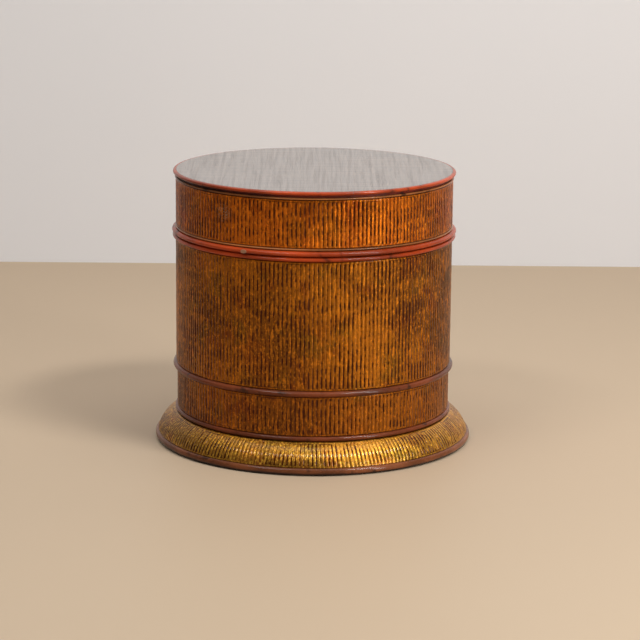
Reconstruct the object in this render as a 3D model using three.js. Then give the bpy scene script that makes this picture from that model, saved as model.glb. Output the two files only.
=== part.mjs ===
// Lacquer storage bin: a ribbed bamboo drum on a flared foot, with a lid that lifts straight off.
// Millimetres, +Z up, origin on the floor under the middle of the bin.
import * as THREE from 'three';

// Drum: the bamboo band, and how far each covering and hoop stands out over it
const coreInnerRadius = 247;
const coreThickness = 3.7;
const wallThickness = 4;
const lowerWallThickness = 2.2;
const lidTopRimWidth = 6.2;
const lidSeamHoopReach = 11;
const binSeamHoopReach = 10;
const midHoopReach = 9.5;
const footTopHoopReach = 6;
const filletReach = 5.5;

// Heights of the bands, from the floor up
const footRimHeight = 13.5;
const skirtHeight = 38.7;
const footTopHoopHeight = 8.5;
const lowerWallHeight = 71.8;
const midHoopHeight = 11;
const binWallHeight = 232.2;
const binSeamHoopHeight = 8.9;
const lidSeamHoopHeight = 10.1;
const seamFilletHeight = 3.9;
const lidWallHeight = 85.6;
const topFilletHeight = 3.8;
const bareBandHeight = 4.2;

// Foot
const footRimReach = 5;
const footRimWidth = 12;
const footRimBulge = 4;
const skirtTopReach = 0.6;
const skirtFlare = 34.4;
const skirtThickness = 3;
const footCoreThickness = 5;
const skirtTopAngle = 55;
const skirtBottomAngle = 10;
const coreFootClearance = 16;

// Boards, inner rings and the collar that the lid slides over
const floorBoardThickness = 12;
const floorBoardTop = 58;
const supportHoopHeight = 11.7;
const supportHoopWidth = 10.5;
const collarThickness = 4;
const collarDepth = 46;
const collarRise = 45;
const lidBoardThickness = 4.8;
const lidBoardOverhang = 2.8;
const lidMatThickness = 1.7;
const lidInnerHoopHeight = 12;
const lidInnerHoopWidth = 7;

// Lapped end of the lid's seam hoop
const lapWidth = 11;
const lapHeight = 7;
const lapThickness = 1.6;
const lapAngle = -28;
const lapCurveSegments = 4;

// Fits and facets
const seat = 0.3;
const lidRunningClearance = 0.6;
const ribCount = 100;
const ribDepth = 1.4;
const ringSegments = 48;
const hoopArcSteps = 4;
const skirtRows = 4;

const coreOuterRadius = coreInnerRadius + coreThickness;
const skinInnerRadius = coreOuterRadius + seat;
const skirtTopRadius = skinInnerRadius + skirtThickness + skirtTopReach;
const skirtBottomRadius = skirtTopRadius + skirtFlare;
const footRimRadius = skirtBottomRadius + footRimReach;
const degree = Math.PI / 180;

// Finishes
const finishes = {
  amberWeave: new THREE.MeshStandardMaterial({ color: 0x8a4e12, roughness: 0.35, metalness: 0 }),
  goldWeave: new THREE.MeshStandardMaterial({ color: 0x7d4a14, roughness: 0.35, metalness: 0 }),
  redCane: new THREE.MeshStandardMaterial({ color: 0x86391a, roughness: 0.3, metalness: 0 }),
  matting: new THREE.MeshStandardMaterial({ color: 0xa89e93, roughness: 0.25, metalness: 0 }),
  bareBamboo: new THREE.MeshStandardMaterial({ color: 0x4a2412, roughness: 0.5, metalness: 0 }),
};

const bin = new THREE.Group();
bin.name = 'bin';
const lid = new THREE.Group();
lid.name = 'lid';

// Add one named piece to a group
function addPiece(group, name, geometry, material) {
  const mesh = new THREE.Mesh(geometry, material);
  mesh.name = name;
  group.add(mesh);
  return mesh;
}

// Revolve an outline of [radius, height] points round the upright axis
function revolve(outline) {
  const points = outline.map(([radius, height]) => new THREE.Vector2(radius, height));
  if (points[0].x > 0) points.push(points[0].clone());
  const geometry = new THREE.LatheGeometry(points, ringSegments);
  geometry.rotateX(Math.PI / 2);
  return geometry;
}

// Plain band with square edges
function bandOutline(inner, outer, bottom, top) {
  return [[inner, bottom], [outer, bottom], [outer, top], [inner, top]];
}

// Split-cane hoop: flat inside and round outside
function hoopOutline(inner, width, bottom, top, bulge = width) {
  const outer = inner + width;
  const middle = (bottom + top) / 2;
  const half = (top - bottom) / 2;
  const outline = [];
  if (outer - bulge > inner) outline.push([inner, bottom]);
  for (let step = 0; step <= hoopArcSteps; step += 1) {
    const angle = -Math.PI / 2 + (Math.PI * step) / hoopArcSteps;
    outline.push([outer - bulge + bulge * Math.cos(angle), middle + half * Math.sin(angle)]);
  }
  if (outer - bulge > inner) outline.push([inner, top]);
  return outline;
}

// Solid round board
function boardOutline(radius, bottom, top) {
  return [[0, bottom], [radius, bottom], [radius, top], [0, top]];
}

// Circle of points, each rib having one crest and one groove
function ribbedCircle(radius) {
  const points = [];
  for (let step = 0; step < ribCount * 2; step += 1) {
    const angle = (Math.PI * step) / ribCount;
    const reach = step % 2 === 0 ? radius : radius - ribDepth;
    points.push(new THREE.Vector2(reach * Math.sin(angle), -reach * Math.cos(angle)));
  }
  return points;
}

// Plain circle whose corners stand where a revolved ring has them
function plainCircle(radius) {
  const points = [];
  for (let step = 0; step < ringSegments; step += 1) {
    const angle = (2 * Math.PI * step) / ringSegments;
    points.push(new THREE.Vector2(radius * Math.sin(angle), -radius * Math.cos(angle)));
  }
  return points;
}

// Upright wall of split bamboo ribs
function ribbedWall(thickness, bottom, height) {
  const shape = new THREE.Shape(ribbedCircle(skinInnerRadius + thickness));
  shape.holes.push(new THREE.Path(plainCircle(skinInnerRadius)));
  const geometry = new THREE.ExtrudeGeometry(shape, { depth: height, bevelEnabled: false });
  geometry.translate(0, 0, bottom);
  return geometry;
}

// Outer radius and height of the flared skirt, from its bottom (0) to its top (1)
function skirtPoint(share, bottom) {
  const low = skirtBottomAngle * degree;
  const high = skirtTopAngle * degree;
  const angle = low + (high - low) * share;
  const inward = (Math.cos(low) - Math.cos(angle)) / (Math.cos(low) - Math.cos(high));
  const upward = (Math.sin(angle) - Math.sin(low)) / (Math.sin(high) - Math.sin(low));
  const radius = skirtBottomRadius - (skirtBottomRadius - skirtTopRadius) * inward;
  return [radius, bottom + skirtHeight * upward];
}

// Points of the skirt's curve, moved inwards
function skirtCurve(bottom, inset) {
  const curve = [];
  for (let row = 0; row <= skirtRows; row += 1) {
    const [radius, height] = skirtPoint(row / skirtRows, bottom);
    curve.push([Math.max(radius - inset, skinInnerRadius), height]);
  }
  return curve;
}

// Flared skirt with ribs outside and a plain curve inside
function ribbedSkirt(bottom) {
  const columns = ribCount * 2;
  const outside = skirtCurve(bottom, 0);
  const inside = skirtCurve(bottom, skirtThickness).reverse();
  const rows = outside.concat(inside);
  const positions = [];
  rows.forEach(([radius, height], row) => {
    for (let column = 0; column < columns; column += 1) {
      const angle = (Math.PI * column) / ribCount;
      const groove = row < outside.length && column % 2 === 1 ? ribDepth : 0;
      positions.push((radius - groove) * Math.sin(angle), -(radius - groove) * Math.cos(angle), height);
    }
  });
  const faces = [];
  rows.forEach((_, row) => {
    const next = (row + 1) % rows.length;
    for (let column = 0; column < columns; column += 1) {
      const beside = (column + 1) % columns;
      const corners = [row, next].map((line) => [line * columns + column, line * columns + beside]);
      faces.push(corners[0][0], corners[0][1], corners[1][1]);
      faces.push(corners[0][0], corners[1][1], corners[1][0]);
    }
  });
  const geometry = new THREE.BufferGeometry();
  geometry.setAttribute('position', new THREE.Float32BufferAttribute(positions, 3));
  geometry.setIndex(faces);
  return geometry;
}

// Foot: rim hoop, ribbed skirt over its core, and the hoop at its top
const skirtBottom = footRimHeight + seat;
const footTopHoopBottom = skirtBottom + skirtHeight + seat;
const footTopHoopTop = footTopHoopBottom + footTopHoopHeight;
const footRimInner = footRimRadius - footRimWidth;
const footRim = hoopOutline(footRimInner, footRimWidth, 0, footRimHeight, footRimBulge);
addPiece(bin, 'foot_rim_hoop', revolve(footRim), finishes.redCane);
addPiece(bin, 'foot_skirt', ribbedSkirt(skirtBottom), finishes.goldWeave);

const coreInset = skirtThickness + 2 * seat;
const footCoreOutside = skirtCurve(skirtBottom, coreInset).slice(0, skirtRows);
const footCoreInside = skirtCurve(skirtBottom, coreInset + footCoreThickness).slice(0, skirtRows).reverse();
addPiece(bin, 'foot_core', revolve(footCoreOutside.concat(footCoreInside)), finishes.bareBamboo);
const footTop = hoopOutline(skinInnerRadius, footTopHoopReach, footTopHoopBottom, footTopHoopTop);
addPiece(bin, 'foot_top_hoop', revolve(footTop), finishes.redCane);

// Lower wall, middle hoop, upper wall and the hoop at the bin's mouth
const lowerWallBottom = footTopHoopTop + seat;
const midHoopBottom = lowerWallBottom + lowerWallHeight + seat;
const midHoopTop = midHoopBottom + midHoopHeight;
const binWallBottom = midHoopTop + seat;
const binSeamBottom = binWallBottom + binWallHeight + seat;
const binSeamTop = binSeamBottom + binSeamHoopHeight;
const lowerWall = ribbedWall(lowerWallThickness, lowerWallBottom, lowerWallHeight);
addPiece(bin, 'bin_lower_wall', lowerWall, finishes.goldWeave);
const midHoop = hoopOutline(skinInnerRadius, midHoopReach, midHoopBottom, midHoopTop);
addPiece(bin, 'bin_mid_hoop', revolve(midHoop), finishes.redCane);
addPiece(bin, 'bin_wall', ribbedWall(wallThickness, binWallBottom, binWallHeight), finishes.goldWeave);
const binSeamHoop = hoopOutline(skinInnerRadius, binSeamHoopReach, binSeamBottom, binSeamTop);
addPiece(bin, 'bin_seam_hoop', revolve(binSeamHoop), finishes.redCane);

// Bamboo core of the bin, its floor and the collar
const binCore = bandOutline(coreInnerRadius, coreOuterRadius, coreFootClearance, binSeamTop);
addPiece(bin, 'bin_core_band', revolve(binCore), finishes.bareBamboo);
const insideFit = coreInnerRadius - seat;
const floorBoardBottom = floorBoardTop - floorBoardThickness;
const floorBoard = boardOutline(insideFit, floorBoardBottom, floorBoardTop);
addPiece(bin, 'bin_floor_board', revolve(floorBoard), finishes.bareBamboo);
const supportTop = floorBoardBottom - seat;
const supportBottom = supportTop - supportHoopHeight;
const supportHoop = bandOutline(insideFit - supportHoopWidth, insideFit, supportBottom, supportTop);
addPiece(bin, 'floor_support_hoop', revolve(supportHoop), finishes.bareBamboo);
const collarInner = insideFit - collarThickness;
const collar = bandOutline(collarInner, insideFit, binSeamTop - collarDepth, binSeamTop + collarRise);
addPiece(bin, 'bin_collar', revolve(collar), finishes.bareBamboo);

// Lid, from its seam hoop up
const lidSeamBottom = binSeamTop + seat;
const lidSeamTop = lidSeamBottom + lidSeamHoopHeight;
const seamFilletBottom = lidSeamTop + seat;
const lidWallBottom = seamFilletBottom + seamFilletHeight + seat;
const topFilletBottom = lidWallBottom + lidWallHeight + seat;
const lidCoreTop = topFilletBottom + topFilletHeight + bareBandHeight;
const lidSeamHoop = hoopOutline(skinInnerRadius, lidSeamHoopReach, lidSeamBottom, lidSeamTop);
addPiece(lid, 'lid_seam_hoop', revolve(lidSeamHoop), finishes.redCane);
const seamFilletTop = seamFilletBottom + seamFilletHeight;
const seamFillet = hoopOutline(skinInnerRadius, filletReach, seamFilletBottom, seamFilletTop);
addPiece(lid, 'lid_seam_fillet', revolve(seamFillet), finishes.amberWeave);
addPiece(lid, 'lid_wall', ribbedWall(wallThickness, lidWallBottom, lidWallHeight), finishes.amberWeave);
const topFilletTop = topFilletBottom + topFilletHeight;
const topFillet = hoopOutline(skinInnerRadius, filletReach, topFilletBottom, topFilletTop);
addPiece(lid, 'lid_top_fillet', revolve(topFillet), finishes.amberWeave);
const lidCoreInner = coreInnerRadius + lidRunningClearance;
const lidCore = bandOutline(lidCoreInner, coreOuterRadius, lidSeamBottom, lidCoreTop);
addPiece(lid, 'lid_core_band', revolve(lidCore), finishes.bareBamboo);
const innerHoopOuter = lidCoreInner - seat;
const innerHoopInner = innerHoopOuter - lidInnerHoopWidth;
const innerHoop = bandOutline(innerHoopInner, innerHoopOuter, lidCoreTop - lidInnerHoopHeight, lidCoreTop);
addPiece(lid, 'lid_inner_hoop', revolve(innerHoop), finishes.bareBamboo);

// Lid top: board, woven matting and the rim hoop round both
const lidBoardBottom = lidCoreTop + seat;
const lidBoardTop = lidBoardBottom + lidBoardThickness;
const lidMatBottom = lidBoardTop + seat;
const lidMatTop = lidMatBottom + lidMatThickness;
const lidBoardRadius = coreOuterRadius + lidBoardOverhang;
const lidBoard = boardOutline(lidBoardRadius, lidBoardBottom, lidBoardTop);
addPiece(lid, 'lid_top_board', revolve(lidBoard), finishes.bareBamboo);
const lidMat = boardOutline(lidBoardRadius, lidMatBottom, lidMatTop);
addPiece(lid, 'lid_top_mat', revolve(lidMat), finishes.matting);
const topRim = hoopOutline(lidBoardRadius + seat, lidTopRimWidth, lidBoardBottom, lidMatTop - seat);
addPiece(lid, 'lid_top_rim', revolve(topRim), finishes.redCane);

// Lapped end of the seam hoop, a small lozenge bound over the joint
const lapShape = new THREE.Shape();
lapShape.moveTo(-lapWidth / 2, 0);
lapShape.quadraticCurveTo(-lapWidth / 2, lapHeight / 2, 0, lapHeight / 2);
lapShape.quadraticCurveTo(lapWidth / 2, lapHeight / 2, lapWidth / 2, 0);
lapShape.quadraticCurveTo(lapWidth / 2, -lapHeight / 2, 0, -lapHeight / 2);
lapShape.quadraticCurveTo(-lapWidth / 2, -lapHeight / 2, -lapWidth / 2, 0);
const lapForm = { depth: lapThickness, bevelEnabled: false, curveSegments: lapCurveSegments };
const lapSolid = new THREE.ExtrudeGeometry(lapShape, lapForm);
lapSolid.rotateX(Math.PI / 2);
const lapRadius = skinInnerRadius + lidSeamHoopReach + seat;
lapSolid.translate(0, -lapRadius, (lidSeamBottom + lidSeamTop) / 2);
lapSolid.rotateZ(lapAngle * degree);
addPiece(lid, 'lid_hoop_lap', lapSolid, finishes.redCane);

const lacquerBin = new THREE.Group();
lacquerBin.name = 'lacquer_bin';
lacquerBin.add(bin, lid);

export default lacquerBin;
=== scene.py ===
"""Lacquer storage bin: ribbed bamboo under glossy lacquer, cane hoops and a matted lid, as an add-on."""

import math

import bpy
import numpy as np
from bpy.props import FloatProperty, FloatVectorProperty, IntProperty, PointerProperty
from mathutils import Matrix, Vector


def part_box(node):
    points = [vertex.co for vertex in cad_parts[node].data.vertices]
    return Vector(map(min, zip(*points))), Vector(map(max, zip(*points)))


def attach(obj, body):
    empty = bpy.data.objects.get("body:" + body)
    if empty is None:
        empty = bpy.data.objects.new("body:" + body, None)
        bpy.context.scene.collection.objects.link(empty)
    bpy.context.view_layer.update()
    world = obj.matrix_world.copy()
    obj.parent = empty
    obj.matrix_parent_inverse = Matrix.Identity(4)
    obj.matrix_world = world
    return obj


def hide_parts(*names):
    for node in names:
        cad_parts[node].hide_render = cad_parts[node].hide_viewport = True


bl_info = {
    "name": "Lacquer storage bin",
    "version": (1, 0, 0),
    "blender": (4, 5, 0),
    "location": "View3D > Sidebar > Lacquer bin",
    "description": "Builds the ribbed walls, cane hoops, matted lid and finishes of a lacquer storage bin",
    "category": "Object",
}

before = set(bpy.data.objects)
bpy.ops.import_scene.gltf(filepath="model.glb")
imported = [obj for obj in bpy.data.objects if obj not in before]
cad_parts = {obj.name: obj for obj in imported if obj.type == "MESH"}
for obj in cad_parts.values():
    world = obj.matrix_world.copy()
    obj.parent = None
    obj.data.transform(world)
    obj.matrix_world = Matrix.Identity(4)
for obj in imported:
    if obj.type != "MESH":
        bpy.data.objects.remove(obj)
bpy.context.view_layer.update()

# Meshes
SEED = 11
RING_STEPS = 240
HOOP_SIDES = 14
COLUMNS_PER_RIB = 6
SMOOTH_ANGLE = math.radians(50)

# Fits, in metres
SEAT = 0.0003
SWELL_ROOM = 0.0003
EDGE = 0.0006
SKIN_MARGIN = 0.0012

# Upright ribbed walls
RIB_SWELL = 0.00012
RIB_WAVES = 40.0
SELVAGE_DROP = 0.0004
SCUFF_PLACE = (-0.160, -0.199, 0.455)

# Foot skirt and foot rim
SKIRT_ROWS = 16
SKIRT_LOW_ANGLE = math.radians(10)
SKIRT_HIGH_ANGLE = math.radians(55)
SKIRT_THICKNESS = 0.003
SKIRT_TOP_REACH = 0.0006
SKIRT_SELVAGE = 0.0028
SKIRT_FADE = 0.003
SKIRT_GROOVE = 0.0010
SKIRT_SWELL = 0.0001
SKIRT_MARGIN = 0.0002
SKIRT_SKIN = 0.0008
RIM_WIDTH = 0.012
RIM_FLAT = 0.004
# Height of the painted shade at the bottom of the foot's rim, near the floor
RIM_FLOOR_SHADE = 0.006

# Cane hoops
HOOP_FULLNESS = 0.8
HOOP_SWELLS = (5, 9, 17, 31, 53)
HOOP_WOBBLE = 0.00035

# Matting of the lid
MAT_CELL = 0.0062
MAT_MARGIN = 0.0002
MAT_INSETS = (0.0015, 0.03, 0.05, 0.05, 0.05, 0.04)
MAT_WAVES = (2, 3, 5)
MAT_WAVE_X = 9.0
MAT_WAVE_Y = 8.0
MAT_WAVE_HEIGHT = 0.00006
MAT_SAG = 0.0001
MAT_FADE = 0.08

# Stage, in metres, and lamps: name, place, width and height, watts
STAGE_SIZE = 14.0
FLOOR_DROP = 0.0002
BACKDROP_DISTANCE = 1.6
BACKDROP_HEIGHT = 3.0
SKY_COLOUR = (0.92, 0.95, 1.0, 1.0)
SKY_STRENGTH = 0.11
SENSOR_WIDTH = 36.0
LAMP_AIM = Vector((0.0, 0.0, 0.25))
LAMPS = (
    ("key_right", (2.03, -1.89, 3.9), (1.3, 0.6), 110.0),
    ("fill_left", (-1.75, -2.09, 3.95), (1.7, 0.6), 42.0),
    ("band_right", (2.1, -1.96, 0.95), (0.40, 1.5), 30.0),
    ("wall_wash", (0.0, -0.2, 4.9), (5.0, 2.0), 88.0),
)


def colour(name, value, text):
    """One colour property."""
    return FloatVectorProperty(
        name=name, description=text, subtype="COLOR", size=3, min=0.0, max=1.0, default=value
    )


def length(name, value, text):
    """One length property, in metres."""
    return FloatProperty(name=name, description=text, subtype="DISTANCE", unit="LENGTH", default=value)


def angle(name, degrees, text):
    """One angle property."""
    turn = math.radians(degrees)
    return FloatProperty(name=name, description=text, subtype="ANGLE", unit="ROTATION", default=turn)


def count(name, value, text):
    """One whole-number property."""
    return IntProperty(name=name, description=text, min=8, default=value)


class RibSettings(bpy.types.PropertyGroup):
    """Sizes of the ribbed covering."""

    wall_ribs: count("Wall ribs", 204, "Split-bamboo ribs round an upright wall")
    foot_ribs: count("Foot ribs", 240, "Split-bamboo ribs round the foot skirt")
    depth: length("Rib depth", 0.0011, "How far a groove lies under the crest of its ribs")
    selvage: length("Selvage", 0.0035, "Height of the plain strip at each end of a ribbed wall")


class FinishSettings(bpy.types.PropertyGroup):
    """Colours of the finishes, as linear light."""

    lid_gold: colour("Lid gold", (0.46, 0.110, 0.0042), "Lacquer over the lid's ribs")
    bin_gold: colour("Bin gold", (0.32, 0.100, 0.0040), "Lacquer over the bin's ribs")
    # A darker copy of the bin's gold, as painted shade on the lower wall
    shaded_low_gold: colour("Lower gold", (0.27, 0.080, 0.0036), "Lacquer over the lower wall's ribs")
    foot_gold: colour("Foot gold", (0.47, 0.205, 0.022), "Lacquer over the foot's ribs")
    # Also painted shade at each end of a ribbed wall, by the hoops
    groove: colour("Groove", (0.046, 0.006, 0.0008), "Maroon lacquer that fills the grooves")
    scuff: colour("Scuff", (0.42, 0.30, 0.20), "Pale rubbed patch on the lid's wall")
    cane: colour("Cane", (0.37, 0.043, 0.006), "Red lacquered cane hoops")
    brown_cane: colour("Brown cane", (0.14, 0.030, 0.008), "Darker cane of the two low hoops")
    foot_cane: colour("Foot cane", (0.17, 0.050, 0.016), "Cane of the foot's rim")
    strip_cane: colour("Strip cane", (0.30, 0.105, 0.030), "Thin strips at the ends of the lid's wall")
    # Pale cane of the lapped end: a painted highlight on the lump
    worn_cane: colour("Worn cane", (0.34, 0.17, 0.10), "Lapped end of the seam hoop")
    worn_dark: colour("Worn cane, dark", (0.12, 0.03, 0.012), "Dark patches of the lapped end")
    cane_fibre: colour("Cane fibre", (0.33, 0.11, 0.045), "Worn fibres of the cane")
    inside_red: colour("Inside red", (0.17, 0.018, 0.008), "Red lacquer of the bands, floor and collar")
    # Also painted shade at the bottom of the foot's rim
    dark: colour("Dark lacquer", (0.022, 0.007, 0.003), "Dark lacquer inside and in the joints")
    dark_fibre: colour("Dark fibre", (0.10, 0.018, 0.007), "Fibres that show through the dark lacquer")
    mat: colour("Matting", (0.17, 0.135, 0.115), "Lacquered matting on the lid")


class StageSettings(bpy.types.PropertyGroup):
    """Camera, floor and backdrop."""

    distance: length("Camera distance", 4.434, "From the camera to the middle of the bin, along Y")
    height: length("Camera height", 1.218, "Of the camera above the floor")
    lens: FloatProperty(name="Lens", description="Focal length in millimetres", min=1.0, default=137.4)
    pitch: angle("Pitch", 12.72, "How far the camera looks down")
    yaw: angle("Yaw", 0.16, "How far the camera looks to the right")
    roll: angle("Roll", 0.50, "How far the camera leans")
    floor_colour: colour("Floor", (0.50, 0.38, 0.26), "Pale floor")
    wall_colour: colour("Wall", (0.80, 0.785, 0.785), "Pale backdrop")


def shade(name):
    """One colour of the finish settings, as plain numbers."""
    return tuple(getattr(bpy.context.scene.bin_finishes, name))


def scale_colour(value, factor):
    """A colour made lighter or darker."""
    return tuple(min(1.0, part * factor) for part in value)


class Socket:
    """A shader socket that takes part in plain arithmetic."""

    def __init__(self, tree, link):
        self.tree = tree
        self.link = link

    def math(self, operation, *values):
        """A Math node on sockets and numbers."""
        node = self.tree.nodes.new("ShaderNodeMath")
        node.operation = operation
        for slot, value in zip(node.inputs, values):
            if isinstance(value, Socket):
                self.tree.links.new(value.link, slot)
            else:
                slot.default_value = value
        return Socket(self.tree, node.outputs[0])

    def __add__(self, other):
        return self.math("ADD", self, other)

    def __radd__(self, other):
        return self.math("ADD", other, self)

    def __sub__(self, other):
        return self.math("SUBTRACT", self, other)

    def __rsub__(self, other):
        return self.math("SUBTRACT", other, self)

    def __mul__(self, other):
        return self.math("MULTIPLY", self, other)

    def __rmul__(self, other):
        return self.math("MULTIPLY", other, self)

    def __truediv__(self, other):
        return self.math("DIVIDE", self, other)

    def floor(self):
        return self.math("FLOOR", self)

    def fract(self):
        return self.math("FRACT", self)

    def sine(self):
        return self.math("SINE", self)

    def root(self):
        return self.math("SQRT", self)

    def absolute(self):
        return self.math("ABSOLUTE", self)

    def smaller(self, other):
        return self.math("MINIMUM", self, other)

    def larger(self, other):
        return self.math("MAXIMUM", self, other)

    def clamp(self):
        return self.larger(0.0).smaller(1.0)

    def ramp(self, low, high):
        """0 below low, 1 above high, smooth between."""
        node = self.tree.nodes.new("ShaderNodeMapRange")
        node.interpolation_type = "SMOOTHSTEP"
        self.tree.links.new(self.link, node.inputs["Value"])
        node.inputs["From Min"].default_value = low
        node.inputs["From Max"].default_value = high
        return Socket(self.tree, node.outputs["Result"])


class Finish:
    """A material built from the nodes of one tree."""

    def __init__(self, name):
        self.material = bpy.data.materials.new(name)
        self.material.use_nodes = True
        self.tree = self.material.node_tree
        self.shader = self.tree.nodes["Principled BSDF"]
        self.place = Socket(self.tree, self.node("ShaderNodeTexCoord").outputs["Object"])
        parts = self.node("ShaderNodeSeparateXYZ", inputs={"Vector": self.place})
        self.x, self.y, self.z = (Socket(self.tree, parts.outputs[axis]) for axis in "XYZ")

    def node(self, kind, settings=None, inputs=None):
        """Any node, with its settings and the values or links of its sockets."""
        node = self.tree.nodes.new(kind)
        for key, value in (settings or {}).items():
            setattr(node, key, value)
        for key, value in (inputs or {}).items():
            if isinstance(value, Socket):
                self.tree.links.new(value.link, node.inputs[key])
            else:
                node.inputs[key].default_value = value
        return node

    def turn(self):
        """Angle round the upright axis, as a share of one turn from 0 to 1."""
        return self.x.math("ARCTAN2", self.x, self.y) / (2 * math.pi) + 0.5

    def radius(self):
        """Distance from the upright axis."""
        return (self.x * self.x + self.y * self.y).root()

    def vector(self, x, y, z):
        """A vector of three sockets or numbers."""
        node = self.node("ShaderNodeCombineXYZ", inputs={"X": x, "Y": y, "Z": z})
        return Socket(self.tree, node.outputs[0])

    def stretched(self, factor):
        """The place with its height scaled, which draws a noise out along the ribs."""
        return self.vector(self.x, self.y, self.z * factor)

    def noise(self, scale, detail=2.0, vector=None):
        """Soft noise about 0.5."""
        inputs = {"Scale": scale, "Detail": detail, "Vector": vector or self.place}
        return Socket(self.tree, self.node("ShaderNodeTexNoise", inputs=inputs).outputs["Fac"])

    def cell(self, vector):
        """A random value for each whole-number cell."""
        node = self.node("ShaderNodeTexWhiteNoise", inputs={"Vector": vector})
        return Socket(self.tree, node.outputs["Value"])

    def distance(self, centre):
        """Distance from one place, in metres."""
        inputs = {0: self.place, 1: centre}
        node = self.node("ShaderNodeVectorMath", {"operation": "DISTANCE"}, inputs)
        return Socket(self.tree, node.outputs["Value"])

    def mix(self, share, first, second):
        """Two colours mixed by a share."""
        node = self.tree.nodes.new("ShaderNodeMix")
        node.data_type = "RGBA"
        for key, value in ((0, share), (6, first), (7, second)):
            if isinstance(value, Socket):
                self.tree.links.new(value.link, node.inputs[key])
            elif key == 0:
                node.inputs[key].default_value = value
            else:
                node.inputs[key].default_value = (*value, 1.0)
        return Socket(self.tree, node.outputs[2])

    def bump(self, height, distance, strength):
        """Relief on the shader's normal."""
        inputs = {"Height": height, "Distance": distance, "Strength": strength}
        node = self.node("ShaderNodeBump", inputs=inputs)
        self.tree.links.new(node.outputs["Normal"], self.shader.inputs["Normal"])

    def set(self, **inputs):
        """Shader inputs, with spaces written as underscores."""
        for key, value in inputs.items():
            slot = self.shader.inputs[key.replace("_", " ")]
            if isinstance(value, Socket):
                self.tree.links.new(value.link, slot)
            elif isinstance(value, tuple) and len(value) == 3:
                slot.default_value = (*value, 1.0)
            else:
                slot.default_value = value
        return self.material


def rib_dashes(finish, seam, edge):
    """Darkness of the grooves: ragged dashes that come and go along each, and a thin line between them."""
    own_place = finish.vector(seam * 7.31, finish.z * 62.0, 2.0)
    own = finish.noise(scale=1.0, vector=own_place)
    drift = finish.noise(scale=7.0, detail=1.0) * 0.035
    shared_place = finish.vector(seam * 0.11, (finish.z + drift) * 85.0, 9.0)
    shared = finish.noise(scale=1.0, detail=1.0, vector=shared_place)
    patch = finish.noise(scale=13.0, detail=3.0, vector=finish.stretched(1.4))
    weight = own * 0.55 + shared * 0.35 + patch * 0.55
    ragged = finish.noise(scale=520.0, vector=finish.stretched(0.30))
    width = edge + (ragged - 0.5) * 0.60 + (weight - 0.72) * 0.9
    present = weight.ramp(low=0.66, high=0.78)
    dash = (width.ramp(low=0.48, high=0.90) * present).clamp()
    thin = width.ramp(low=0.60, high=1.05) * 0.50
    return dash * 0.96 + thin * (1.0 - dash)


def selvage_marks(finish, low, high, selvage):
    """Where ribs show between the plain strips, the broken crack beside each strip, and painted shade in
    the corner where each end meets a hoop.
    """
    from_end = (finish.z - low).smaller(high - finish.z)
    ends = from_end + (finish.noise(scale=26.0) - 0.5) * selvage * 0.9
    field = ends.ramp(low=selvage * 0.75, high=selvage * 1.35)
    off_crack = (ends - selvage * 1.15).absolute()
    crack = 1.0 - off_crack.ramp(low=selvage * 0.06, high=selvage * 0.24)
    broken = finish.noise(scale=19.0).ramp(low=0.50, high=0.60)
    # Painted shade: darkest at each end, where the wall meets a hoop
    hoop_corner_shade = 1.0 - ends.ramp(low=selvage * 0.12, high=selvage * 0.50)
    return field, crack * broken, hoop_corner_shade


def gold_coat(finish, gold, groove, rib, grain):
    """Gold lacquer with dark, red and olive clouds, a paler grain, and light and dark flecks."""
    redder = (gold[0] * 0.62, gold[1] * 0.36, gold[2] * 0.5)
    olive = (gold[0] * 0.52, gold[1] * 0.85, gold[2])
    turned = finish.vector(finish.z, finish.x, finish.y)
    cloud = finish.noise(scale=5.0, detail=3.0).ramp(low=0.32, high=0.68)
    red_cloud = finish.noise(scale=24.0, detail=3.0).ramp(low=0.48, high=0.72)
    olive_cloud = finish.noise(scale=17.0, vector=turned).ramp(low=0.55, high=0.72)
    fleck = finish.noise(scale=330.0, detail=3.0, vector=finish.stretched(0.6))
    dark_fleck = (1.0 - fleck).ramp(low=0.57, high=0.70)
    strip = finish.cell(finish.vector(rib, 1.0, 0.0))
    base = finish.mix(cloud, scale_colour(gold, 0.50), scale_colour(gold, 1.40))
    base = finish.mix(strip * 0.5, base, scale_colour(gold, 0.70))
    base = finish.mix(red_cloud * 0.65, base, redder)
    base = finish.mix(olive_cloud * 0.5, base, olive)
    base = finish.mix(grain.ramp(low=0.50, high=0.70) * 0.65, base, scale_colour(gold, 2.3))
    base = finish.mix(fleck.ramp(low=0.56, high=0.68) * 0.55, base, scale_colour(gold, 2.9))
    return finish.mix(dark_fleck * 0.6, base, groove)


def ribbed_lacquer(name, gold, ribs, low, high, selvage, scuffed=False):
    """Gold lacquer over ribs, with maroon dashes in the grooves and a plain strip at each end."""
    finish = Finish(name)
    groove = shade("groove")
    wander = (finish.noise(scale=16.0) - 0.5) * 0.45
    across = finish.turn() * float(ribs) + wander
    edge = (across.fract() - 0.5).absolute() * 2.0
    field, crack, hoop_corner_shade = selvage_marks(finish, low, high, selvage)
    depth = (rib_dashes(finish, (across + 0.5).floor(), edge) * field).clamp()
    # The groove colour also paints shade along each end of the wall, by the hoops
    depth = depth.larger(crack * 0.9).larger(hoop_corner_shade * 0.75)
    grain = finish.noise(scale=240.0, detail=3.0, vector=finish.stretched(0.22))
    base = gold_coat(finish, gold, groove, across.floor(), grain)
    base = finish.mix(depth, base, groove)
    if scuffed:
        near = 1.0 - finish.distance(SCUFF_PLACE).ramp(low=0.006, high=0.022)
        rubbed = finish.noise(scale=420.0).ramp(low=0.50, high=0.62)
        base = finish.mix(near * rubbed * 0.6, base, shade("scuff"))
    finish.bump(grain * 0.4 + finish.noise(scale=60.0) * 0.6, distance=0.0006, strength=0.40)
    return finish.set(
        Base_Color=base, Metallic=0.78, Roughness=0.34 + finish.noise(scale=30.0) * 0.14,
        IOR=1.33, Specular_IOR_Level=0.12, Coat_Weight=0.5, Coat_Roughness=0.10, Coat_IOR=1.30,
    )


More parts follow.
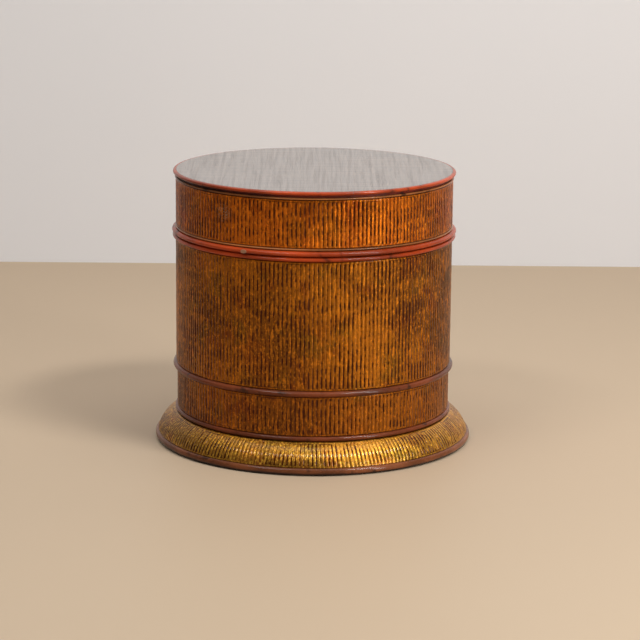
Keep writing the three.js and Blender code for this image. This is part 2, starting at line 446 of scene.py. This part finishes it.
def cane_lacquer(name, cane, dark, floor_shade=0.0):
    """Lacquered cane with long fibres and worn crests; given a height, painted shade in dark lacquer
    covers it below that height, near the floor.
    """
    finish = Finish(name)
    along = finish.vector(finish.turn() * 9.0, finish.radius() * 60.0, finish.z * 60.0)
    fibre = finish.noise(scale=22.0, detail=3.0, vector=along)
    patch = finish.noise(scale=9.0, detail=3.0)
    dark_patch = finish.noise(scale=38.0, detail=3.0).ramp(low=0.58, high=0.72)
    base = finish.mix(patch.ramp(low=0.35, high=0.68), scale_colour(cane, 0.62), scale_colour(cane, 1.35))
    base = finish.mix(fibre.ramp(low=0.52, high=0.80) * 0.6, base, shade("cane_fibre"))
    base = finish.mix(dark_patch * 0.8, base, dark)
    # Painted shade: dark lacquer over the bottom of the cane, where it curves under towards the floor
    if floor_shade:
        unshaded = (finish.z + (patch - 0.5) * floor_shade).ramp(low=floor_shade * 0.5, high=floor_shade)
        base = finish.mix(1.0 - unshaded, base, dark)
    finish.bump(fibre * 0.6 + finish.noise(scale=90.0) * 0.4, distance=0.0008, strength=0.5)
    return finish.set(
        Base_Color=base, Roughness=0.34 + patch * 0.2, IOR=1.4, Specular_IOR_Level=0.15,
        Coat_Weight=0.6, Coat_Roughness=0.10, Coat_IOR=1.35,
    )


def matting_lacquer(name, mat):
    """Fine woven matting under glossy lacquer."""
    finish = Finish(name)
    column = finish.x * (1.0 / MAT_CELL)
    row = finish.y * (1.0 / MAT_CELL)
    over = (column * math.pi).sine() * 0.5 + 0.5
    under = (row * math.pi).sine() * 0.5 + 0.5
    swap = ((column.floor() + row.floor()) * 0.5).fract() * 2.0
    weave = over * swap + under * (1.0 - swap)
    warp = finish.noise(scale=3.0, detail=3.0, vector=finish.vector(finish.x * 60.0, finish.y * 1.5, 0.0))
    weft = finish.noise(scale=3.0, detail=3.0, vector=finish.vector(finish.x * 1.5, finish.y * 60.0, 4.0))
    cloud = finish.noise(scale=5.0, detail=3.0)
    base = finish.mix(cloud.ramp(low=0.3, high=0.7), scale_colour(mat, 0.85), scale_colour(mat, 1.12))
    base = finish.mix(weave * 0.55, base, scale_colour(mat, 0.42))
    base = finish.mix(warp.ramp(low=0.45, high=0.70) * 0.6, base, scale_colour(mat, 0.4))
    base = finish.mix(weft.ramp(low=0.45, high=0.70) * 0.6, base, scale_colour(mat, 1.9))
    finish.bump(weave * 0.5 + warp * 0.5 + weft * 0.5, distance=0.0004, strength=0.4)
    worn = warp.ramp(low=0.42, high=0.66) + weft.ramp(low=0.42, high=0.66)
    return finish.set(
        Base_Color=base, Roughness=0.30 + cloud * 0.12, IOR=1.5,
        Coat_Weight=1.0 - worn * 0.28, Coat_Roughness=0.10, Coat_IOR=1.6,
    )


def dark_lacquer(name, dark):
    """Dark lacquer over bent bamboo, with faint fibres."""
    finish = Finish(name)
    along = finish.vector(finish.turn() * 8.0, finish.radius() * 40.0, finish.z * 30.0)
    fibre = finish.noise(scale=18.0, detail=3.0, vector=along)
    base = finish.mix(fibre.ramp(low=0.4, high=0.75) * 0.6, dark, shade("dark_fibre"))
    finish.bump(fibre, distance=0.0006, strength=0.4)
    return finish.set(Base_Color=base, Roughness=0.38 + fibre * 0.15, Coat_Weight=0.4, Coat_Roughness=0.2)


def plain_stage(name, value, rough):
    """A plain pale surface of the stage."""
    finish = Finish(name)
    base = finish.mix(finish.noise(scale=1.2), scale_colour(value, 0.97), value)
    return finish.set(Base_Color=base, Roughness=rough, Specular_IOR_Level=0.3)


def one_sided(material):
    """Leaves a surface see-through from behind, so that the backdrop hides nothing from a camera behind
    it.
    """
    tree = material.node_tree
    side = tree.nodes.new("ShaderNodeNewGeometry")
    clear = tree.nodes.new("ShaderNodeBsdfTransparent")
    choice = tree.nodes.new("ShaderNodeMixShader")
    tree.links.new(side.outputs["Backfacing"], choice.inputs["Fac"])
    tree.links.new(tree.nodes["Principled BSDF"].outputs["BSDF"], choice.inputs[1])
    tree.links.new(clear.outputs["BSDF"], choice.inputs[2])
    tree.links.new(choice.outputs["Shader"], tree.nodes["Material Output"].inputs["Surface"])
    return material


def deselect():
    """Leaves nothing selected, in object mode."""
    if bpy.context.object and bpy.context.object.mode != "OBJECT":
        bpy.ops.object.mode_set(mode="OBJECT")
    bpy.ops.object.select_all(action="DESELECT")


def spin_outline(name, outline, steps):
    """A closed outline of (radius, height) points, spun round the upright axis into one closed ring."""
    deselect()
    bpy.ops.mesh.primitive_circle_add(vertices=len(outline), radius=0.01, fill_type="NOTHING")
    ring = bpy.context.object
    ring.name = ring.data.name = name
    flat = np.zeros((len(outline), 3))
    flat[:, 0] = [point[0] for point in outline]
    flat[:, 2] = [point[1] for point in outline]
    put_points(ring, flat)
    bpy.ops.object.mode_set(mode="EDIT")
    bpy.ops.mesh.select_all(action="SELECT")
    bpy.ops.mesh.spin(steps=steps, angle=2 * math.pi, center=(0, 0, 0), axis=(0, 0, 1))
    bpy.ops.mesh.select_all(action="SELECT")
    bpy.ops.mesh.remove_doubles(threshold=0.00001)
    bpy.ops.mesh.normals_make_consistent(inside=False)
    bpy.ops.object.mode_set(mode="OBJECT")
    return ring


def finish_piece(piece, material, body, node):
    """Smooths a piece, gives it its finish, says what it rides on and hides the CAD node it stands for."""
    deselect()
    piece.select_set(True)
    bpy.context.view_layer.objects.active = piece
    bpy.ops.object.shade_smooth_by_angle(angle=SMOOTH_ANGLE)
    piece.data.materials.clear()
    piece.data.materials.append(material)
    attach(piece, body)
    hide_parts(node)


def refinish(node, material):
    """Gives a CAD node its finish."""
    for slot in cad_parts[node].material_slots:
        slot.material = material


def points_of(piece):
    """The piece's vertices as an array."""
    flat = np.empty(len(piece.data.vertices) * 3)
    piece.data.vertices.foreach_get("co", flat)
    return flat.reshape(-1, 3)


def put_points(piece, points):
    """Writes moved vertices back."""
    piece.data.vertices.foreach_set("co", points.ravel())
    piece.data.update()


def push_out(piece, points, radius, move):
    """Moves points out from the upright axis, each by its own amount, and writes them back."""
    factor = (radius + move) / radius
    points[:, 0] *= factor
    points[:, 1] *= factor
    put_points(piece, points)


def rib_places(points, ribs):
    """Each point's radius, its rib, and how deep it lies in the groove, from 0 at the crest to 1."""
    radius = np.hypot(points[:, 0], points[:, 1])
    across = (np.arctan2(points[:, 0], points[:, 1]) / (2 * np.pi) + 0.5) * ribs
    rib = np.floor(across + 0.001).astype(int) % ribs
    share = across - np.floor(across)
    return radius, rib, 1.0 - np.sin(np.pi * share) ** 0.5


def node_box(node):
    """Bottom, top and outer radius of a round CAD node."""
    low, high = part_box(node)
    return low[2], high[2], high[0]


def skin_radius():
    """Radius at which every covering starts, just over the bamboo bands."""
    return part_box("bin_core_band")[1][0] + SEAT


def press_ribs(wall, low, high, generator):
    """Presses the grooves between the ribs into the outer face of an upright wall."""
    ribs = bpy.context.scene.bin_ribs
    points = points_of(wall)
    radius, rib, groove = rib_places(points, ribs.wall_ribs)
    height = (points[:, 2] - low) / (high - low)
    rise = np.minimum(points[:, 2] - low, high - points[:, 2]) / ribs.selvage
    field = np.clip(rise, 0.0, 1.0)
    swell = generator.normal(0.0, RIB_SWELL, ribs.wall_ribs)[rib]
    phase = generator.uniform(0.0, 2 * np.pi, ribs.wall_ribs)[rib]
    wave = RIB_SWELL * np.sin(height * RIB_WAVES + phase) + swell * field
    pressed = -groove * ribs.depth * field + wave * field - SELVAGE_DROP * (1 - field)
    move = np.where(radius > skin_radius() + SKIN_MARGIN, pressed, 0.0)
    push_out(wall, points, radius, move)


def add_wall(name, node, material, body, rows, generator):
    """An upright ribbed wall over its band."""
    ribs = bpy.context.scene.bin_ribs
    selvage = ribs.selvage
    inner = skin_radius()
    low, high, outer = node_box(node)
    crest = outer - SWELL_ROOM
    levels = [low + EDGE, low + selvage * 0.5, low + selvage]
    levels += list(np.linspace(low + selvage * 1.6, high - selvage * 1.6, rows))
    levels += [high - selvage, high - selvage * 0.5, high - EDGE]
    outline = [(inner, low), (crest - EDGE, low)]
    outline += [(crest, level) for level in levels]
    outline += [(crest - EDGE, high), (inner, high)]
    wall = spin_outline(name, outline, ribs.wall_ribs * COLUMNS_PER_RIB)
    press_ribs(wall, low, high, generator)
    finish_piece(wall, material, body, node)


def skirt_curve(low, high, outer):
    """Points of the skirt's outer flare, from its bottom to its top."""
    top = skin_radius() + SKIRT_THICKNESS + SKIRT_TOP_REACH
    first, last = SKIRT_LOW_ANGLE, SKIRT_HIGH_ANGLE
    curve = []
    for row in range(SKIRT_ROWS + 1):
        slope = first + (last - first) * row / SKIRT_ROWS
        inward = (math.cos(first) - math.cos(slope)) / (math.cos(first) - math.cos(last))
        upward = (math.sin(slope) - math.sin(first)) / (math.sin(last) - math.sin(first))
        curve.append((outer - (outer - top) * inward, low + (high - low) * upward))
    return curve


def press_skirt(skirt, curve, low, high, ribs, generator):
    """Presses the grooves between the ribs into the outer face of the skirt."""
    points = points_of(skirt)
    radius, rib, groove = rib_places(points, ribs)
    surface = np.interp(points[:, 2], [level for _, level in curve], [reach for reach, _ in curve])
    rise = np.minimum(points[:, 2] - low, high - points[:, 2]) / SKIRT_FADE
    field = np.clip(rise, 0.0, 1.0)
    swell = generator.normal(0.0, SKIRT_SWELL, ribs)[rib]
    pressed = -groove * SKIRT_GROOVE * field + swell * field - SKIRT_MARGIN
    move = np.where(radius > surface - SKIRT_SKIN, pressed, 0.0)
    push_out(skirt, points, radius, move)


def hoop_outline(inner, outer, low, high, flat):
    """A split-cane section: flat inside and round outside."""
    middle = (low + high) / 2
    half = (high - low) / 2
    centre = inner + flat
    outline = [(inner, low)] if flat else []
    for step in range(HOOP_SIDES + 1):
        slope = -math.pi / 2 + math.pi * step / HOOP_SIDES
        bulge = abs(math.cos(slope)) ** HOOP_FULLNESS
        outline.append((centre + (outer - centre) * bulge, middle + half * math.sin(slope)))
    if flat:
        outline.append((inner, high))
    return outline


def add_hoop(name, node, material, body, inner, generator, flat=0.0):
    """A cane hoop with the small swells and hollows of real cane."""
    low, high, outer = node_box(node)
    outline = hoop_outline(inner, outer - HOOP_WOBBLE, low, high, flat)
    hoop = spin_outline(name, outline, RING_STEPS)
    points = points_of(hoop)
    radius = np.hypot(points[:, 0], points[:, 1])
    turn = np.arctan2(points[:, 0], points[:, 1])
    reach = np.clip((radius - inner) / (outer - inner), 0.0, 1.0)
    swell = np.zeros(len(points))
    for waves in HOOP_SWELLS:
        swell += np.sin(waves * turn + generator.uniform(0, 2 * np.pi)) / math.sqrt(waves)
    push_out(hoop, points, radius, reach * HOOP_WOBBLE * swell * 0.5)
    finish_piece(hoop, material, body, node)


class BIN_OT_walls(bpy.types.Operator):
    """Make the three upright ribbed walls"""

    bl_idname = "lacquer_bin.walls"
    bl_label = "Ribbed walls"

    def execute(self, context):
        ribs = context.scene.bin_ribs
        generator = np.random.default_rng(SEED)
        walls = (
            ("lid_ribbed_wall", "lid_wall", "lid_gold", "lid", "amber_weave", 16, True),
            ("bin_ribbed_wall", "bin_wall", "bin_gold", "bin", "gold_weave", 40, False),
            # The lower wall's darker gold is painted shade
            ("bin_ribbed_lower_wall", "bin_lower_wall", "shaded_low_gold", "bin", "gold_weave", 14, False),
        )
        for name, node, gold, body, slot, rows, scuffed in walls:
            low, high, _ = node_box(node)
            finish = (name + "_lacquer", shade(gold), ribs.wall_ribs, low, high, ribs.selvage, scuffed)
            add_wall(name, node, ribbed_lacquer(*finish), body, rows, generator)
        return {"FINISHED"}


class BIN_OT_foot(bpy.types.Operator):
    """Make the flared ribbed skirt of the foot"""

    bl_idname = "lacquer_bin.foot"
    bl_label = "Foot skirt"

    def execute(self, context):
        ribs = context.scene.bin_ribs.foot_ribs
        generator = np.random.default_rng(SEED + 1)
        low, high, outer = node_box("foot_skirt")
        finish = ribbed_lacquer("foot_ribbed_lacquer", shade("foot_gold"), ribs, low, high, SKIRT_SELVAGE)
        curve = skirt_curve(low, high, outer)
        inner = skin_radius()
        inside = [(max(reach - SKIRT_THICKNESS, inner), level) for reach, level in reversed(curve[::4])]
        skirt = spin_outline("foot_ribbed_skirt", curve + inside, ribs * COLUMNS_PER_RIB)
        press_skirt(skirt, curve, low, high, ribs, generator)
        finish_piece(skirt, finish, "bin", "foot_skirt")
        return {"FINISHED"}


class BIN_OT_hoops(bpy.types.Operator):
    """Make the cane hoops of the bin and the lid"""

    bl_idname = "lacquer_bin.hoops"
    bl_label = "Cane hoops"

    def execute(self, context):
        generator = np.random.default_rng(SEED + 2)
        dark = shade("dark")
        red = cane_lacquer("red_cane_lacquer", shade("cane"), dark)
        brown = cane_lacquer("brown_cane_lacquer", shade("brown_cane"), dark)
        # The foot's rim gets painted shade near the floor
        foot = cane_lacquer("foot_cane_lacquer", shade("foot_cane"), dark, RIM_FLOOR_SHADE)
        skin = skin_radius()
        rim_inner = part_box("lid_top_board")[1][0] + SEAT
        foot_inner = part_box("foot_rim_hoop")[1][0] - RIM_WIDTH
        hoops = (
            ("lid_seam_cane", "lid_seam_hoop", red, "lid", skin, 0.0),
            ("bin_seam_cane", "bin_seam_hoop", red, "bin", skin, 0.0),
            ("bin_mid_cane", "bin_mid_hoop", brown, "bin", skin, 0.0),
            ("foot_top_cane", "foot_top_hoop", brown, "bin", skin, 0.0),
            ("lid_top_cane", "lid_top_rim", red, "lid", rim_inner, 0.0),
            ("foot_rim_cane", "foot_rim_hoop", foot, "bin", foot_inner, RIM_FLAT),
        )
        for name, node, finish, body, inner, flat in hoops:
            add_hoop(name, node, finish, body, inner, generator, flat)
        return {"FINISHED"}


class BIN_OT_strips(bpy.types.Operator):
    """Make the thin strips above the seam and under the rim, and finish the lapped end of the hoop in pale
    cane as a painted highlight
    """

    bl_idname = "lacquer_bin.strips"
    bl_label = "Thin strips"

    def execute(self, context):
        generator = np.random.default_rng(SEED + 3)
        strip = cane_lacquer("strip_lacquer", shade("strip_cane"), shade("dark"))
        for name, node in (("lid_top_strip", "lid_top_fillet"), ("lid_seam_strip", "lid_seam_fillet")):
            add_hoop(name, node, strip, "lid", skin_radius(), generator)
        # The lapped end's pale cane is a painted highlight
        refinish("lid_hoop_lap", cane_lacquer("worn_cane_lacquer", shade("worn_cane"), shade("worn_dark")))
        return {"FINISHED"}


class BIN_OT_lid_top(bpy.types.Operator):
    """Make the matted top of the lid"""

    bl_idname = "lacquer_bin.lid_top"
    bl_label = "Lid top"

    def execute(self, context):
        low, high, outer = node_box("lid_top_mat")
        deselect()
        bpy.ops.mesh.primitive_circle_add(
            vertices=RING_STEPS, radius=outer, fill_type="NGON", location=(0, 0, low)
        )
        top = bpy.context.object
        top.name = top.data.name = "lid_matting"
        bpy.ops.object.transform_apply(location=True, rotation=True, scale=True)
        bpy.ops.object.mode_set(mode="EDIT")
        bpy.ops.mesh.select_all(action="SELECT")
        rise = (0, 0, high - low - MAT_MARGIN)
        bpy.ops.mesh.extrude_region_move(TRANSFORM_OT_translate={"value": rise})
        for inset in MAT_INSETS:
            bpy.ops.mesh.inset(thickness=inset)
        bpy.ops.mesh.poke()
        bpy.ops.mesh.select_all(action="SELECT")
        bpy.ops.mesh.normals_make_consistent(inside=False)
        bpy.ops.object.mode_set(mode="OBJECT")
        self.sag(top, (low + high) / 2, outer)
        finish_piece(top, matting_lacquer("matting_lacquer", shade("mat")), "lid", "lid_top_mat")
        return {"FINISHED"}

    def sag(self, top, middle, outer):
        """Lets the upper face dip and ripple a little."""
        generator = np.random.default_rng(SEED + 4)
        points = points_of(top)
        radius = np.hypot(points[:, 0], points[:, 1])
        ripple = np.zeros(len(points))
        for waves in MAT_WAVES:
            ripple += np.sin(waves * MAT_WAVE_X * points[:, 0] + generator.uniform(0, 6)) / waves
            ripple += np.sin(waves * MAT_WAVE_Y * points[:, 1] + generator.uniform(0, 6)) / waves
        fade = np.clip((outer - radius) / MAT_FADE, 0.0, 1.0)
        drop = fade * (ripple * MAT_WAVE_HEIGHT - MAT_SAG)
        points[:, 2] += np.where(points[:, 2] > middle, drop, 0.0)
        put_points(top, points)


class BIN_OT_inside(bpy.types.Operator):
    """Finish the bands, boards and collar"""

    bl_idname = "lacquer_bin.inside"
    bl_label = "Bands and boards"

    def execute(self, context):
        dark = dark_lacquer("dark_band_lacquer", shade("dark"))
        red = cane_lacquer("inside_red_lacquer", shade("inside_red"), shade("dark"))
        for node in ("bin_core_band", "lid_core_band", "bin_floor_board", "bin_collar"):
            refinish(node, red)
        for node in ("lid_top_board", "lid_inner_hoop", "floor_support_hoop", "foot_core"):
            refinish(node, dark)
        return {"FINISHED"}


class BIN_OT_stage(bpy.types.Operator):
    """Set the floor, backdrop, lamps and camera"""

    bl_idname = "lacquer_bin.stage"
    bl_label = "Stage"

    def execute(self, context):
        scene = context.scene
        stage = scene.bin_stage
        floor_finish = plain_stage("floor_finish", tuple(stage.floor_colour), 0.55)
        wall_finish = one_sided(plain_stage("backdrop_finish", tuple(stage.wall_colour), 0.7))
        self.add_plane("floor", (0, 0, -FLOOR_DROP), 0.0, floor_finish)
        self.add_plane("backdrop", (0, BACKDROP_DISTANCE, BACKDROP_HEIGHT), math.pi / 2, wall_finish)
        self.add_lamps(scene)
        self.add_camera(scene, stage)
        scene.view_settings.view_transform = "Standard"
        return {"FINISHED"}

    def add_plane(self, name, place, tilt, material):
        """One flat surface of the stage."""
        deselect()
        bpy.ops.mesh.primitive_plane_add(size=STAGE_SIZE, location=place, rotation=(tilt, 0, 0))
        plane = bpy.context.object
        plane.name = name
        plane.data.materials.append(material)

    def add_lamps(self, scene):
        """Soft lamps over the bin and an even light all round."""
        for name, place, size, power in LAMPS:
            light = bpy.data.lights.new(name, "AREA")
            light.shape = "RECTANGLE"
            light.size, light.size_y = size
            light.energy = power
            lamp = bpy.data.objects.new(name, light)
            lamp.location = place
            lamp.rotation_euler = (LAMP_AIM - Vector(place)).to_track_quat("-Z", "Y").to_euler()
            scene.collection.objects.link(lamp)
        world = bpy.data.worlds.new("room_light")
        world.use_nodes = True
        sky = world.node_tree.nodes["Background"]
        sky.inputs["Color"].default_value = SKY_COLOUR
        sky.inputs["Strength"].default_value = SKY_STRENGTH
        scene.world = world

    def add_camera(self, scene, stage):
        """The camera at the photograph's viewing angle."""
        level = Vector((math.sin(stage.yaw), math.cos(stage.yaw), 0.0))
        ahead = level * math.cos(stage.pitch) - Vector((0.0, 0.0, math.sin(stage.pitch)))
        right = Vector((math.cos(stage.yaw), -math.sin(stage.yaw), 0.0))
        up = right.cross(ahead)
        turned_right = right * math.cos(stage.roll) + up * math.sin(stage.roll)
        turned_up = up * math.cos(stage.roll) - right * math.sin(stage.roll)
        data = bpy.data.cameras.new("photo_camera")
        data.lens = stage.lens
        data.sensor_width = SENSOR_WIDTH
        camera = bpy.data.objects.new("photo_camera", data)
        turn = Matrix((turned_right, turned_up, -ahead)).transposed().to_4x4()
        camera.matrix_world = Matrix.Translation((0.0, -stage.distance, stage.height)) @ turn
        scene.collection.objects.link(camera)
        scene.camera = camera


class BIN_PT_panel(bpy.types.Panel):
    """Lists the settings and steps of the bin"""

    bl_idname = "BIN_PT_panel"
    bl_label = "Lacquer bin"
    bl_space_type = "VIEW_3D"
    bl_region_type = "UI"
    bl_category = "Lacquer bin"

    def draw(self, context):
        for group in ("bin_ribs", "bin_finishes", "bin_stage"):
            settings = getattr(context.scene, group)
            for key in settings.__annotations__:
                self.layout.prop(settings, key)
        for step in STEPS:
            self.layout.operator(step.bl_idname)


SETTINGS = (RibSettings, FinishSettings, StageSettings)
STEPS = (
    BIN_OT_stage, BIN_OT_walls, BIN_OT_foot, BIN_OT_hoops, BIN_OT_strips, BIN_OT_lid_top, BIN_OT_inside,
)


def register():
    for item in SETTINGS + STEPS + (BIN_PT_panel,):
        bpy.utils.register_class(item)
    bpy.types.Scene.bin_ribs = PointerProperty(type=RibSettings)
    bpy.types.Scene.bin_finishes = PointerProperty(type=FinishSettings)
    bpy.types.Scene.bin_stage = PointerProperty(type=StageSettings)


def unregister():
    del bpy.types.Scene.bin_stage
    del bpy.types.Scene.bin_finishes
    del bpy.types.Scene.bin_ribs
    for item in reversed(SETTINGS + STEPS + (BIN_PT_panel,)):
        bpy.utils.unregister_class(item)


def main():
    """Runs every step."""
    register()
    bpy.ops.lacquer_bin.stage()
    bpy.ops.lacquer_bin.walls()
    bpy.ops.lacquer_bin.foot()
    bpy.ops.lacquer_bin.hoops()
    bpy.ops.lacquer_bin.strips()
    bpy.ops.lacquer_bin.lid_top()
    bpy.ops.lacquer_bin.inside()


if __name__ == "__main__":
    main()
